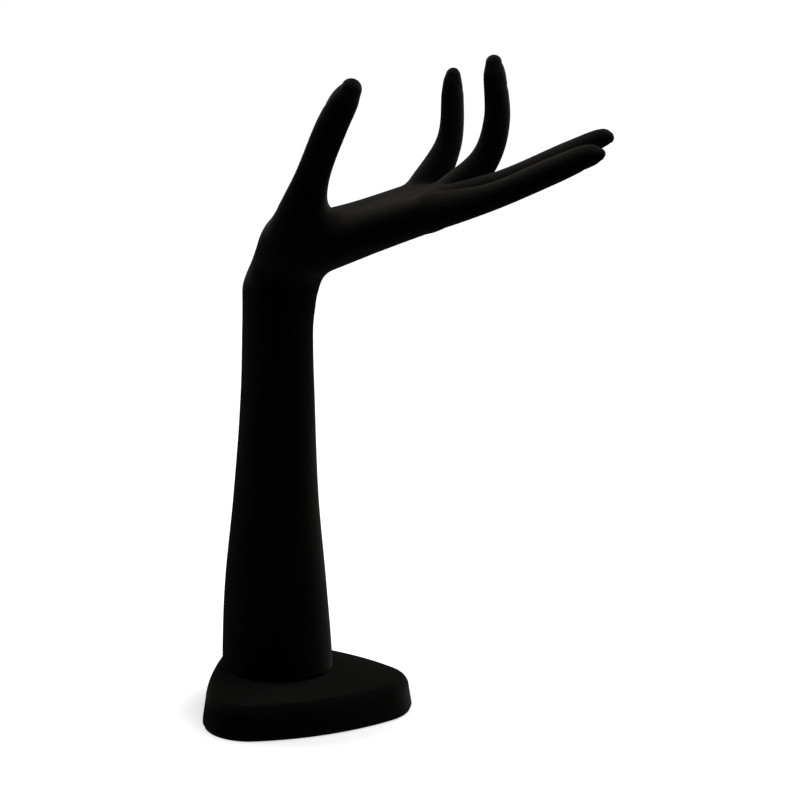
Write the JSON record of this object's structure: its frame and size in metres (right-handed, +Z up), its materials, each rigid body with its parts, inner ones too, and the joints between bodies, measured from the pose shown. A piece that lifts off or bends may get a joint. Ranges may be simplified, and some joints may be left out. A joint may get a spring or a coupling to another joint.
{
  "type": "hand jewelry display",
  "caption": "Flocked upright forearm and open hand on a weighted rounded-triangle plinth, for showing rings, bracelets and necklaces.",
  "frame": {"origin": "on the tabletop, in the felt pad's lower face, under the forearm's axis", "axes": "+X along the plinth to its tip, the way the hand reaches; +Y to the little finger's side; +Z up"},
  "size_m": [0.2098, 0.109, 0.344],
  "materials": {
    "black_flock": "matte",
    "black_felt": "matte",
    "drawn_steel": "satin",
    "zinc_plated_steel": "satin",
    "beech": "matte",
    "hardboard": "matte"
  },
  "bodies": {
    "root": {"arm_casting": "black_flock", "thumb_wire": "drawn_steel", "index_wire": "drawn_steel", "middle_wire": "drawn_steel", "ring_wire": "drawn_steel", "little_wire": "drawn_steel", "arm_plug": "beech", "tee_nut": "zinc_plated_steel", "plinth_shell": "black_flock", "ballast_plate": "drawn_steel", "bottom_board": "hardboard", "felt_pad": "black_felt", "clamp_washer": "zinc_plated_steel", "clamp_bolt": "zinc_plated_steel", "locating_dowel_rear": "beech", "locating_dowel_front": "beech", "board_screw_1": "zinc_plated_steel", "board_screw_2": "zinc_plated_steel", "board_screw_3": "zinc_plated_steel"}
  },
  "joints": []
}
